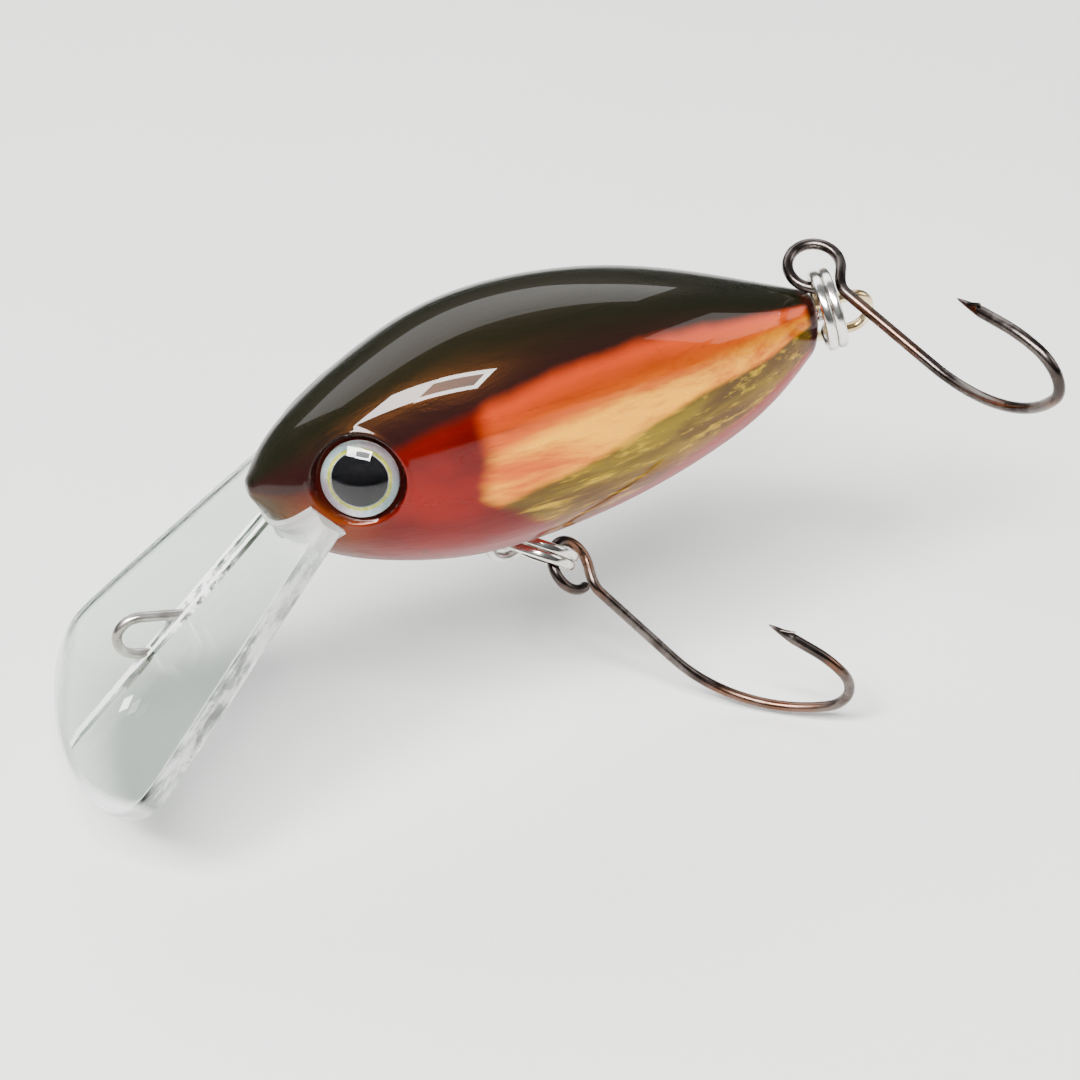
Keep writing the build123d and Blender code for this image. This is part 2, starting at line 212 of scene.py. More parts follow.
# ---- small helpers for materials ----
class Nodes:
    """A short way to write a material's node tree."""

    def __init__(self, name):
        self.material = bpy.data.materials.new(name)
        self.material.use_nodes = True
        self.tree = self.material.node_tree
        self.tree.nodes.clear()
        self.output = self.tree.nodes.new("ShaderNodeOutputMaterial")

    def add(self, kind, **settings):
        node = self.tree.nodes.new("ShaderNode" + kind)
        for key, value in settings.items():
            setattr(node, key, value)
        return node

    def link(self, source, target):
        self.tree.links.new(source, target)

    def feed(self, socket, value):
        if isinstance(value, bpy.types.NodeSocket):
            self.link(value, socket)
        elif isinstance(value, (tuple, list)) and socket.type == "RGBA" and len(value) == 3:
            socket.default_value = (*value, 1.0)
        else:
            socket.default_value = value

    def object_position(self):
        return self.add("TexCoord").outputs["Object"]

    def attribute(self, name):
        return self.add("Attribute", attribute_name=name).outputs["Fac"]

    def maths(self, operation, a, b=0.0, c=0.0, clamp=False):
        node = self.add("Math", operation=operation, use_clamp=clamp)
        self.feed(node.inputs[0], a)
        self.feed(node.inputs[1], b)
        self.feed(node.inputs[2], c)
        return node.outputs[0]

    def ramp(self, value, low, high, to_low=0.0, to_high=1.0, smooth=True):
        node = self.add("MapRange", interpolation_type="SMOOTHSTEP" if smooth else "LINEAR")
        self.feed(node.inputs["Value"], value)
        self.feed(node.inputs["From Min"], low)
        self.feed(node.inputs["From Max"], high)
        self.feed(node.inputs["To Min"], to_low)
        self.feed(node.inputs["To Max"], to_high)
        return node.outputs["Result"]

    def stretched(self, vector, stretch):
        if stretch is None:
            return vector
        node = self.add("VectorMath", operation="MULTIPLY")
        self.link(vector, node.inputs[0])
        node.inputs[1].default_value = stretch
        return node.outputs[0]

    def noise(self, vector, scale, detail=4.0, roughness=0.55, distortion=0.0, stretch=None):
        vector = self.stretched(vector, stretch)
        node = self.add("TexNoise")
        self.link(vector, node.inputs["Vector"])
        node.inputs["Scale"].default_value = scale
        node.inputs["Detail"].default_value = detail
        node.inputs["Roughness"].default_value = roughness
        node.inputs["Distortion"].default_value = distortion
        return node.outputs["Fac"]

    def voronoi(self, vector, scale, stretch=None):
        vector = self.stretched(vector, stretch)
        node = self.add("TexVoronoi", feature="F1")
        self.link(vector, node.inputs["Vector"])
        node.inputs["Scale"].default_value = scale
        return node.outputs["Distance"]

    def about_zero(self, value, amount):
        """A 0 to 1 value moved to swing about zero, then scaled."""
        return self.maths("MULTIPLY", self.maths("SUBTRACT", value, 0.5), amount)

    def both(self, a, b):
        """The product of two values."""
        return self.maths("MULTIPLY", a, b)

    def plus(self, a, b):
        return self.maths("ADD", a, b)

    def mix(self, factor, a, b):
        node = self.add("Mix", data_type="RGBA", blend_type="MIX")
        self.feed(node.inputs["Factor"], factor)
        self.feed(node.inputs["A"], a)
        self.feed(node.inputs["B"], b)
        return node.outputs["Result"]

    def bump(self, height, strength, distance):
        node = self.add("Bump")
        node.inputs["Strength"].default_value = strength
        node.inputs["Distance"].default_value = distance
        self.link(height, node.inputs["Height"])
        return node.outputs["Normal"]

    def shader(self, **values):
        node = self.add("BsdfPrincipled")
        for key, value in values.items():
            self.feed(node.inputs[key.replace("_", " ")], value)
        self.link(node.outputs[0], self.output.inputs["Surface"])
        return node


def dress(piece, material):
    piece.data.materials.clear()
    piece.data.materials.append(material)


# ---- the body's outline: share of the length, then shares of the back's height,
# the belly's depth and the half width at that station ----
STATIONS = (
    (0.000, -0.05, 0.10, 0.05),
    (0.012, 0.04, 0.23, 0.17),
    (0.035, 0.17, 0.40, 0.32),
    (0.100, 0.41, 0.68, 0.58),
    (0.220, 0.72, 0.895, 0.84),
    (0.360, 0.95, 1.00, 1.00),
    (0.500, 1.00, 0.98, 0.99),
    (0.650, 0.91, 0.87, 0.89),
    (0.800, 0.70, 0.68, 0.69),
    (0.920, 0.48, 0.42, 0.44),
    (1.000, 0.34, 0.14, 0.20),
)
SECTION_POWER = 2.3


def slopes_of(keys, values):
    """Slopes at the keys for a cubic spline with smooth curvature, straight at both ends."""
    count = len(keys)
    spans = [b - a for a, b in zip(keys, keys[1:])]
    rises = [(b - a) / span for a, b, span in zip(values, values[1:], spans)]
    below, middle, above, wanted = [0.0], [2.0], [1.0], [3 * rises[0]]
    for index in range(1, count - 1):
        left, right = spans[index - 1], spans[index]
        below.append(right)
        middle.append(2 * (left + right))
        above.append(left)
        wanted.append(3 * (right * rises[index - 1] + left * rises[index]))
    below.append(1.0)
    middle.append(2.0)
    above.append(0.0)
    wanted.append(3 * rises[-1])
    for index in range(1, count):
        share = below[index] / middle[index - 1]
        middle[index] -= share * above[index - 1]
        wanted[index] -= share * wanted[index - 1]
    slopes = [0.0] * count
    slopes[-1] = wanted[-1] / middle[-1]
    for index in range(count - 2, -1, -1):
        slopes[index] = (wanted[index] - above[index] * slopes[index + 1]) / middle[index]
    return slopes


KEYS = [math.sqrt(station[0]) for station in STATIONS]
CURVES = []
for column, scale in ((1, BACK_HEIGHT), (2, -BELLY_DEPTH), (3, HALF_WIDTH)):
    line = [station[column] * scale for station in STATIONS]
    CURVES.append((line, slopes_of(KEYS, line)))


def section_at(x):
    """The body's top, bottom and half width at x, in millimetres."""
    key = math.sqrt(min(max(x / BODY_LENGTH, 0.0), 1.0))
    index = 0
    while index < len(KEYS) - 2 and key > KEYS[index + 1]:
        index += 1
    span = KEYS[index + 1] - KEYS[index]
    t = (key - KEYS[index]) / span
    found = []
    for line, slopes in CURVES:
        a, b = line[index], line[index + 1]
        m, n = slopes[index] * span, slopes[index + 1] * span
        found.append(
            a * (2 * t**3 - 3 * t**2 + 1)
            + m * (t**3 - 2 * t**2 + t)
            + b * (3 * t**2 - 2 * t**3)
            + n * (t**3 - t**2)
        )
    return found


def surface_point(x, turn, shrink=0.0):
    """A point on the skin. turn is 0 on the back, 1 on the belly, negative on the left flank."""
    top, bottom, half_width = section_at(x)
    middle, half_height = (top + bottom) / 2, (top - bottom) / 2
    half_height, half_width = half_height - shrink, half_width - shrink
    angle = math.pi * abs(turn)
    across, up = math.sin(angle), math.cos(angle)
    power = 2 / SECTION_POWER
    y = math.copysign(half_width * max(across, 0.0) ** power, turn)
    z = middle + half_height * math.copysign(abs(up) ** power, up)
    return Vector((x, y, z))


# ---- the eyes' frames ----
EYE_RADIUS = 2.4
SOCKET_RADIUS = 2.85
EYE_TURN_FORWARD = math.radians(26.0)
EYE_TURN_UP = math.radians(20.0)


def eye_frame(side):
    outward = Vector((
        -math.sin(EYE_TURN_FORWARD) * math.cos(EYE_TURN_UP),
        side * math.cos(EYE_TURN_FORWARD) * math.cos(EYE_TURN_UP),
        math.sin(EYE_TURN_UP),
    ))
    low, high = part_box("eye_film_left" if side < 0 else "eye_film_right")
    middle = (low + high) / 2
    centre = (middle - ORIGIN) / MM - outward * 0.08
    across = outward.cross(Vector((0, 0, 1))).normalized()
    return centre, outward, across, outward.cross(across)


# ---- the body's skin ----
def body_columns():
    """x positions along the body, closer together round the eyes and at both ends."""
    places = [0.0]
    x = 0.0
    while x < BODY_LENGTH:
        if x < 0.3:
            step = 0.02
        elif x < 1.5:
            step = 0.06
        elif x < 10.0:
            step = 0.085
        elif x < BODY_LENGTH - 1.0:
            step = 0.26
        else:
            step = 0.06
        x = min(x + step, BODY_LENGTH)
        places.append(x)
    return places


def make_body():
    sides = 288
    rim = 0.5
    eyes = [eye_frame(side) for side in (-1, 1)]
    vertices, lengthwise, turning, socket = [], [], [], []
    columns = body_columns()
    for x in columns:
        from_tail = BODY_LENGTH - x
        shrink = 0.0
        if from_tail < rim:
            shrink = rim - math.sqrt(max(rim**2 - (rim - from_tail) ** 2, 0.0))
        for step in range(sides):
            turn = -1 + 2 * step / sides
            point = surface_point(x, turn, shrink)
            inside = 0.0
            for centre, outward, _, _ in eyes:
                offset = point - centre
                height = offset.dot(outward)
                radius = (offset - outward * height).length
                if offset.length < 6 and radius < SOCKET_RADIUS + 0.5 and height > -1.0:
                    wall = min(max((SOCKET_RADIUS + 0.1 - radius) / 0.2, 0.0), 1.0)
                    wall = wall * wall * (3 - 2 * wall)
                    point = point - outward * (height * wall)
                    inside = max(inside, wall)
                    swell = math.exp(-((radius - SOCKET_RADIUS - 0.22) / 0.16) ** 2) * 0.05
                    point = point + outward * swell
            vertices.append(place(*point))
            lengthwise.append(x)
            turning.append(abs(turn))
            socket.append(inside)
    faces = grid_faces(len(columns), sides, True)
    for ring in (0, len(columns) - 1):
        centre = len(vertices)
        points = vertices[ring * sides:(ring + 1) * sides]
        middle = sum(points, Vector()) / sides
        vertices.append(middle)
        lengthwise.append(columns[ring])
        turning.append(0.5)
        socket.append(0.0)
        for step in range(sides):
            faces.append((ring * sides + step, ring * sides + (step + 1) % sides, centre))
    body = new_mesh_object("body_skin", vertices, faces)
    recalculate_normals(body)
    add_attribute(body, "length_mm", lengthwise)
    add_attribute(body, "turn", turning)
    # the socket mask marks where the skin dips into an eye socket; the body's paint uses it for
    # painted shade there
    add_attribute(body, "socket", socket)
    return body


PAINT = {
    "salmon": (0.50, 0.050, 0.008),
    "orange": (0.50, 0.075, 0.003),
    "yellow": (0.80, 0.34, 0.004),
    "rust_streak": (0.30, 0.030, 0.002),
    "olive_gold": (0.155, 0.105, 0.0006),
    "olive_deep": (0.075, 0.045, 0.0004),
    # painted shade for the low spots of the foil's crinkle
    "foil_hollow_painted_shade": (0.040, 0.022, 0.0004),
    # painted highlight: glints on the foil
    "foil_painted_glint": (0.42, 0.27, 0.001),
    "belly_red": (0.19, 0.008, 0.001),
    "cheek_deep": (0.075, 0.0012, 0.0006),
    "cheek_red": (0.15, 0.0024, 0.0008),
    "throat": (0.11, 0.0035, 0.0006),
    "snout_dark": (0.030, 0.002, 0.001),
    "snout_amber": (0.11, 0.020, 0.0008),
    "nose_olive": (0.020, 0.012, 0.001),
    "back_olive": (0.004, 0.0045, 0.002),
    "back_edge": (0.010, 0.003, 0.003),
    "smoke": (0.035, 0.002, 0.0015),
    "tail_rim": (0.014, 0.002, 0.001),
    "speck": (0.045, 0.012, 0.006),
    # painted shade inside the eye sockets
    "socket": (0.018, 0.0015, 0.001),
}


def body_material():
    """Candy paint over foil: bands along the flank, then the head, back, tail rim and specks."""
    n = Nodes("body_lacquer")
    place_at = n.object_position()
    x = n.attribute("length_mm")
    turn = n.attribute("turn")
    socket = n.attribute("socket")
    wobble = n.noise(place_at, 260.0, 3.0)
    cloud = n.noise(place_at, 95.0, 3.0, stretch=(1.0, 1.0, 2.0))
    streaks = n.noise(place_at, 420.0, 5.0, 0.65, 0.4, stretch=(0.16, 1.0, 1.0))
    fine_streaks = n.noise(place_at, 1500.0, 3.0, 0.7, 0.0, stretch=(0.14, 1.0, 1.0))
    crinkle = n.voronoi(place_at, 430.0, stretch=(0.24, 1.0, 1.0))
    turn_soft = n.plus(turn, n.about_zero(wobble, 0.035))
    # flank bands, each drifting up towards the tail
    drift = n.ramp(x, 13.0, 37.0, 0.0, 0.155, smooth=False)
    band = n.plus(turn_soft, drift)
    colour = n.mix(n.ramp(band, 0.33, 0.43), PAINT["salmon"], PAINT["orange"])
    glow = n.both(n.ramp(band, 0.41, 0.465), n.ramp(streaks, 0.33, 0.60))
    colour = n.mix(glow, colour, PAINT["yellow"])
    dark_streaks = n.both(n.ramp(fine_streaks, 0.50, 0.70), n.ramp(band, 0.34, 0.40))
    colour = n.mix(n.both(dark_streaks, 0.45), colour, PAINT["rust_streak"])
    lower_edge = n.ramp(n.plus(band, n.about_zero(cloud, 0.06)), 0.535, 0.56)
    gold = n.mix(n.ramp(streaks, 0.40, 0.62), PAINT["olive_deep"], PAINT["olive_gold"])
    # painted shade: the foil is darkened in the crinkle's low spots, where the bump below sinks
    gold = n.mix(n.ramp(crinkle, 0.10, 0.55, 0.55, 0.0), gold, PAINT["foil_hollow_painted_shade"])
    # painted highlight: bright glints on the foil along the fine streaks
    gold = n.mix(n.ramp(fine_streaks, 0.52, 0.70, 0.0, 0.85), gold, PAINT["foil_painted_glint"])
    colour = n.mix(lower_edge, colour, gold)
    belly_drift = n.ramp(x, 18.0, 35.0, 0.0, 0.215, smooth=False)
    belly = n.ramp(n.plus(turn_soft, belly_drift), 0.745, 0.80)
    colour = n.mix(belly, colour, PAINT["belly_red"])
    # head: candy red cheek, amber snout and olive chin
    cheek_edge = n.plus(x, n.about_zero(cloud, 3.0))
    cheek_edge = n.maths("SUBTRACT", cheek_edge, n.ramp(turn, 0.50, 0.70, 0.0, 4.2))
    cheek = n.ramp(cheek_edge, 12.7, 14.2, 1.0, 0.0)
    cheek_colour = n.mix(n.ramp(cloud, 0.35, 0.7), PAINT["cheek_deep"], PAINT["cheek_red"])
    cheek_colour = n.mix(n.ramp(turn, 0.60, 0.75), cheek_colour, PAINT["throat"])
    colour = n.mix(cheek, colour, cheek_colour)
    snout = n.ramp(x, 3.0, 8.2, 1.0, 0.0)
    snout_colour = n.mix(n.ramp(turn, 0.36, 0.56), PAINT["snout_dark"], PAINT["snout_amber"])
    snout_colour = n.mix(n.ramp(x, 0.8, 3.4, 1.0, 0.0), snout_colour, PAINT["nose_olive"])
    snout = n.both(snout, n.ramp(turn, 0.78, 0.9, 1.0, 0.3))
    colour = n.mix(snout, colour, snout_colour)
    # back: near-black olive that lifts away from the middle, soft edge on the flank
    edge = n.ramp(x, 4.0, 37.0, 0.335, 0.165, smooth=False)
    edge = n.plus(edge, n.ramp(x, 0.0, 6.0, 0.06, 0.0))
    above = n.maths("SUBTRACT", turn_soft, edge)
    dark = n.ramp(above, -0.015, 0.045, 1.0, 0.0)
    smoke = n.ramp(above, -0.02, 0.13, 0.85, 0.0)
    back_colour = n.mix(n.ramp(turn, 0.10, 0.30), PAINT["back_olive"], PAINT["back_edge"])
    colour = n.mix(n.both(smoke, 0.55), colour, PAINT["smoke"])
    colour = n.mix(dark, colour, back_colour)
    # dark tail rim
    rim = n.ramp(n.plus(x, n.about_zero(wobble, 0.8)), 36.7, 37.4)
    colour = n.mix(rim, colour, PAINT["tail_rim"])
    # specks: small dark rings and dots scattered under the lacquer
    cells = n.voronoi(place_at, 300.0)
    chance = n.noise(place_at, 130.0, 2.0)
    dots = n.both(n.ramp(cells, 0.07, 0.12, 1.0, 0.0), n.ramp(chance, 0.56, 0.62))
    big_cells = n.voronoi(place_at, 150.0, stretch=(1.0, 1.0, 0.62))
    ring = n.both(n.ramp(big_cells, 0.050, 0.066), n.ramp(big_cells, 0.085, 0.10, 1.0, 0.0))
    ring = n.both(ring, n.ramp(n.noise(place_at, 70.0, 1.0), 0.50, 0.53))
    specks = n.maths("MAXIMUM", n.both(dots, 0.75), n.both(ring, 0.9))
    specks = n.both(specks, n.ramp(turn, 0.18, 0.26))
    colour = n.mix(specks, colour, PAINT["speck"])
    # painted shade: the eye sockets' sunken floor and walls are darkened
    colour = n.mix(socket, colour, PAINT["socket"])
    # foil shows as metal under the flank's paint
    metal = n.both(n.ramp(above, 0.0, 0.10), n.ramp(x, 3.5, 8.0))
    metal = n.both(metal, 0.70)
    metal = n.both(metal, n.maths("SUBTRACT", 1.0, specks))
    rough = n.ramp(streaks, 0.3, 0.7, 0.40, 0.24)
    rough = n.plus(rough, n.both(lower_edge, 0.06))
    height = n.plus(n.both(crinkle, lower_edge), n.both(streaks, 0.6))
    shader = n.shader(
        Base_Color=colour,
        Metallic=metal,
        Roughness=rough,
        Normal=n.bump(height, 0.55, 0.00022),
    )
    shader.inputs["Coat Weight"].default_value = 0.62
    shader.inputs["Coat Roughness"].default_value = 0.015
    shader.inputs["Coat IOR"].default_value = 1.36
    shader.inputs["Specular Tint"].default_value = (0.80, 0.25, 0.04, 1.0)
    shader.inputs["IOR"].default_value = 1.2
    # the clear coat has its own faint orange peel
    peel = n.noise(place_at, 330.0, 2.0, 0.4)
    n.link(n.bump(peel, 0.05, 0.00010), shader.inputs["Coat Normal"])
    return n.material


# ---- the diving lip ----
LIP_ROOT = Vector((3.9, 0.0, -1.4))
LIP_SLOPE = math.radians(43.7)
LIP_FORWARD = Vector((-math.cos(LIP_SLOPE), 0.0, -math.sin(LIP_SLOPE)))
LIP_UP = Vector((-math.sin(LIP_SLOPE), 0.0, math.cos(LIP_SLOPE)))
LIP_HALF_WIDTH = 5.2
LIP_FLARE = 0.227
LIP_STRAIGHT = 19.6
LIP_REACH = 24.6
LIP_THICKNESS = 1.5


def lip_point(forward, across, up):
    """A point in the lip's own frame, in the body's frame in millimetres."""
    return LIP_ROOT + LIP_FORWARD * forward + Vector((0, 1, 0)) * across + LIP_UP * up


def lip_half_width(forward):
    if forward <= LIP_STRAIGHT:
        return LIP_HALF_WIDTH + LIP_FLARE * max(forward, 0.0)
    share = (forward - LIP_STRAIGHT) / (LIP_REACH - LIP_STRAIGHT)
    return (LIP_HALF_WIDTH + LIP_FLARE * LIP_STRAIGHT) * math.sqrt(max(1 - share * share, 0.0))


def make_lip():
    """A clear plate with rounded edges, closed by one flat face above and one below."""
    rim = []
    for step in range(40):
        rim.append((LIP_STRAIGHT * step / 40, lip_half_width(LIP_STRAIGHT * step / 40)))
    wide = LIP_HALF_WIDTH + LIP_FLARE * LIP_STRAIGHT
    for step in range(37):
        angle = math.pi / 2 * step / 36
        rim.append((
            LIP_STRAIGHT + (LIP_REACH - LIP_STRAIGHT) * math.sin(angle), wide * math.cos(angle)
        ))
    # the sides run into the rounded end without a corner
    for _ in range(30):
        rim = [rim[0]] + [
            (
                (before[0] + 2 * here[0] + after[0]) / 4,
                (before[1] + 2 * here[1] + after[1]) / 4,
            ) if 16.0 < here[0] < 22.5 else here
            for before, here, after in zip(rim, rim[1:], rim[2:])
        ] + [rim[-1]]
    outline = [(forward, -width) for forward, width in rim]
    outline += [(forward, width) for forward, width in reversed(rim[:-1])]
    half = LIP_THICKNESS / 2
    rounding = 0.34
    section = []
    for step in range(7):
        angle = math.pi / 2 * step / 6
        section.append((rounding * (1 - math.sin(angle)), half - rounding * (1 - math.cos(angle))))
    section += [(inset, -up) for inset, up in reversed(section)]
    vertices = []
    for index, (forward, across) in enumerate(outline):
        before = outline[max(index - 1, 0)]
        after = outline[min(index + 1, len(outline) - 1)]
        run = Vector((after[0] - before[0], after[1] - before[1])).normalized()
        outward = Vector((-run.y, run.x))
        if outward.x * (forward - 8) + outward.y * across < 0:
            outward = -outward
        for inset, up in section:
            vertices.append(place(*lip_point(
                forward - outward.x * inset, across - outward.y * inset, up
            )))
    count = len(section)
    faces = grid_faces(len(outline), count, False)
    faces.append(tuple(index * count for index in range(len(outline))))
    faces.append(tuple(index * count + count - 1 for index in reversed(range(len(outline)))))
    last = (len(outline) - 1) * count
    faces.append(tuple(range(count)) + tuple(last + index for index in reversed(range(count))))
    lip = new_mesh_object("diving_lip_clear", vertices, faces)
    recalculate_normals(lip)
    for polygon in lip.data.polygons:
        polygon.use_smooth = len(polygon.vertices) == 4
    sharpen(lip, 40)
    return lip


def lip_coordinates(n, place_at):
    """Millimetres along, across and above the lip, and in from its side edges."""
    shift = n.add("VectorMath", operation="SUBTRACT")
    n.link(place_at, shift.inputs[0])
    shift.inputs[1].default_value = place(*LIP_ROOT)
    found = []
    for axis in (LIP_FORWARD, Vector((0, 1, 0)), LIP_UP):
        dot = n.add("VectorMath", operation="DOT_PRODUCT")
        n.link(shift.outputs[0], dot.inputs[0])
        dot.inputs[1].default_value = axis / MM
        found.append(dot.outputs["Value"])
    forward, across, up = found
    width = n.maths("MULTIPLY_ADD", forward, LIP_FLARE, LIP_HALF_WIDTH)
    edge = n.maths("SUBTRACT", width, n.maths("ABSOLUTE", across))
    return forward, across, up, edge


def clear_material(name, tint, frost, roughness=0.02, ior=1.50):
    """Clear plastic with a share of frosting, which may be a node socket."""
    n = Nodes(name)
    place_at = n.object_position()
    scratches = n.noise(place_at, 900.0, 3.0, 0.6, 0.0, stretch=(0.15, 1.0, 0.4))
    haze = n.noise(place_at, 150.0, 3.0)
    level = frost(n, place_at) if callable(frost) else frost
    rough = n.plus(roughness, n.both(level, 0.42))
    rough = n.plus(rough, n.ramp(haze, 0.55, 0.8, 0.0, 0.05))
    colour = n.mix(level, tint, (0.95, 0.96, 0.94))
    shader = n.shader(
        Base_Color=colour,
        Roughness=rough,
        Normal=n.bump(scratches, 0.05, 0.00006),
        Transmission_Weight=n.maths("SUBTRACT", 1.0, n.both(level, 0.80)),
    )
    shader.inputs["IOR"].default_value = ior
    return n.material


def lip_frost(n, place_at):
    forward, across, up, edge = lip_coordinates(n, place_at)
    drawn = n.add("CombineXYZ")
    for socket, value, stretch in zip(drawn.inputs, (forward, across, up), (0.22, 1.0, 1.0)):
        n.feed(socket, n.both(value, stretch))
    lumps = n.noise(drawn.outputs[0], 1.5, 5.0, 0.65)
    root = n.ramp(forward, 0.4, 4.5, 0.42, 0.0)
    reach = n.plus(forward, n.both(n.both(across, across), 0.045))
    scuffed_tip = n.ramp(reach, 23.6, 24.6, 0.0, 0.55)
    sides = n.both(n.ramp(edge, 0.05, 0.45, 0.5, 0.0), n.ramp(lumps, 0.35, 0.60, 0.25, 1.0))
    chip_x = n.maths("ABSOLUTE", n.maths("SUBTRACT", forward, 18.4))
    chip_y = n.maths("ABSOLUTE", n.maths("SUBTRACT", across, -1.6))
    chip = n.ramp(n.plus(chip_x, n.both(chip_y, 1.7)), 0.75, 0.85, 0.75, 0.0)
    total = n.maths("MAXIMUM", root, scuffed_tip)
    total = n.maths("MAXIMUM", total, sides)
    return n.maths("MAXIMUM", total, chip, clamp=True)


RIB_WIDTH = 1.5
RIB_HEIGHT = 0.34
RIB_CLEARANCE = 0.004
RIB_SINK = 0.05


def make_rib():
    """The raised rib down the middle of the lip's upper face: two crests with a valley between."""
    rows, columns = 150, 31
    vertices, forwards, crests = [], [], []
    length = LIP_REACH - 0.9
    for row in range(rows):
        forward = 0.15 + (length - 0.15) * row / (rows - 1)
        fade = min(1.0, (length - forward) / 1.2)
        spread = 1.0 if forward < 12.0 else max(0.42, 1.0 - (forward - 12.0) * 0.11)
        for column in range(columns):
            share = -1 + 2 * column / (columns - 1)
            across = share * RIB_WIDTH / 2 * spread
            crest = math.exp(-((abs(share) - 0.55) / 0.26) ** 2)
            crown = math.cos(share * math.pi / 2)
            height = RIB_HEIGHT * fade * (0.35 * crown**0.6 + 0.65 * crest)
            if abs(share) > 0.98:
                height = 0.0
            wobble = noise.noise(Vector((forward * 1.9, across * 2.3, 3.0)))
            rough = noise.noise(Vector((forward * 5.5, across * 6.0, 9.0)))
            patch = math.exp(-((forward - 9.5) / 3.4) ** 2)
            height *= 1 + 0.16 * wobble + 0.5 * patch * rough
            height = min(height, RIB_HEIGHT)
            rise = LIP_THICKNESS / 2 + max(height, 0.0) + RIB_CLEARANCE
            vertices.append(place(*lip_point(forward, across, rise)))
            forwards.append(forward)
            crests.append(crest if forward < 15.0 else max(crest, crown**2))
    top = len(vertices)
    for row in range(rows):
        for column in range(columns):
            co = vertices[row * columns + column]
            offset = (co - ORIGIN) / MM - LIP_ROOT
            sunk = lip_point(offset.dot(LIP_FORWARD), offset.y, LIP_THICKNESS / 2 - RIB_SINK)
            vertices.append(place(*sunk))
            forwards.append(forwards[row * columns + column])
            crests.append(0.0)
    faces = grid_faces(rows, columns, False)
    faces += [tuple(reversed([top + i for i in face])) for face in grid_faces(rows, columns, False)]
    border = [row * columns for row in range(rows)]
    border += [(rows - 1) * columns + column for column in range(1, columns)]
    border += [row * columns + columns - 1 for row in range(rows - 2, -1, -1)]
    border += [column for column in range(columns - 2, 0, -1)]
    for a, b in zip(border, border[1:] + border[:1]):
        faces.append((a, b, b + top, a + top))
    rib = new_mesh_object("lip_rib", vertices, faces)
    recalculate_normals(rib)
    add_attribute(rib, "rib_forward", forwards)
    add_attribute(rib, "rib_crest", crests)
    return rib


def rib_frost(n, place_at):
    forward = n.attribute("rib_forward")
    lumps = n.noise(place_at, 1300.0, 5.0, 0.7)
    crest = n.attribute("rib_crest")
    base = n.ramp(forward, 0.0, 13.0, 0.95, 0.85)
    base = n.both(base, n.ramp(forward, 13.0, 22.0, 1.0, 0.75))
    base = n.both(base, n.ramp(crest, 0.35, 0.75))
    glue = n.both(n.ramp(forward, 5.5, 8.0), n.ramp(forward, 12.0, 15.0, 1.0, 0.0))
    worn = n.both(glue, n.ramp(lumps, 0.40, 0.60, 0.0, 0.85))
    return n.maths("MAXIMUM", base, worn, clamp=True)


# ---- the eyes ----
def make_eye_film(side):
    """The printed film under the lens, as a disc with rings of its own radius stored on it."""
    centre, outward, across, along = eye_frame(side)
    rings, sides = 48, 96
    vertices, radii, turns = [], [], []
    for ring in range(rings + 1):
        radius = (EYE_RADIUS - 0.015) * ring / rings
        rise = 0.10 if ring < rings else 0.0
        for step in range(sides):
            angle = 2 * math.pi * step / sides
            spoke = across * math.cos(angle) + along * math.sin(angle)
            point = centre + spoke * radius
            vertices.append(place(*(point + outward * rise)))
            radii.append(radius / EYE_RADIUS)
            turns.append(step / sides)
    film = new_mesh_object(
        "eye_film_skin_left" if side < 0 else "eye_film_skin_right",
        vertices,
        grid_faces(rings + 1, sides, True),
    )
    recalculate_normals(film)
    add_attribute(film, "eye_radius", radii)
    add_attribute(film, "eye_turn", turns)
    return film


def eye_film_material():
    n = Nodes("eye_print")
    place_at = n.object_position()
    radius = n.attribute("eye_radius")
    turn = n.attribute("eye_turn")
    waver = n.both(n.maths("SUBTRACT", n.noise(place_at, 900.0, 2.0), 0.5), 0.05)
    radius = n.plus(radius, waver)
    glitter = n.noise(place_at, 2600.0, 3.0, 0.7)
    sweep = n.both(turn, 2.0 * math.pi * 2.0)
    hue = n.plus(n.both(n.maths("SINE", sweep), 0.5), 0.5)
    silver = n.mix(n.ramp(hue, 0.15, 0.85), (0.50, 0.70, 0.74), (0.72, 0.62, 0.72))
    silver = n.mix(n.ramp(glitter, 0.45, 0.7, 0.0, 0.7), silver, (0.93, 0.95, 0.90))
    yellow = n.mix(n.ramp(glitter, 0.4, 0.7), (0.60, 0.62, 0.05), (0.88, 0.86, 0.22))
    pupil = n.ramp(radius, 0.655, 0.685, 1.0, 0.0)
    ring = n.both(n.ramp(radius, 0.67, 0.70), n.ramp(radius, 0.755, 0.80, 1.0, 0.0))
    colour = n.mix(ring, silver, yellow)
    colour = n.mix(n.ramp(radius, 0.95, 0.99), colour, (0.86, 0.88, 0.86))
    colour = n.mix(pupil, colour, (0.004, 0.004, 0.005))
    metal = n.both(n.maths("SUBTRACT", 1.0, pupil), 0.85)
    shader = n.shader(
        Base_Color=colour,
        Metallic=metal,
        Roughness=n.ramp(radius, 0.65, 0.70, 0.12, 0.30),
        Normal=n.bump(glitter, 0.25, 0.00004),
    )
    shader.inputs["Specular IOR Level"].default_value = 0.04
    return n.material


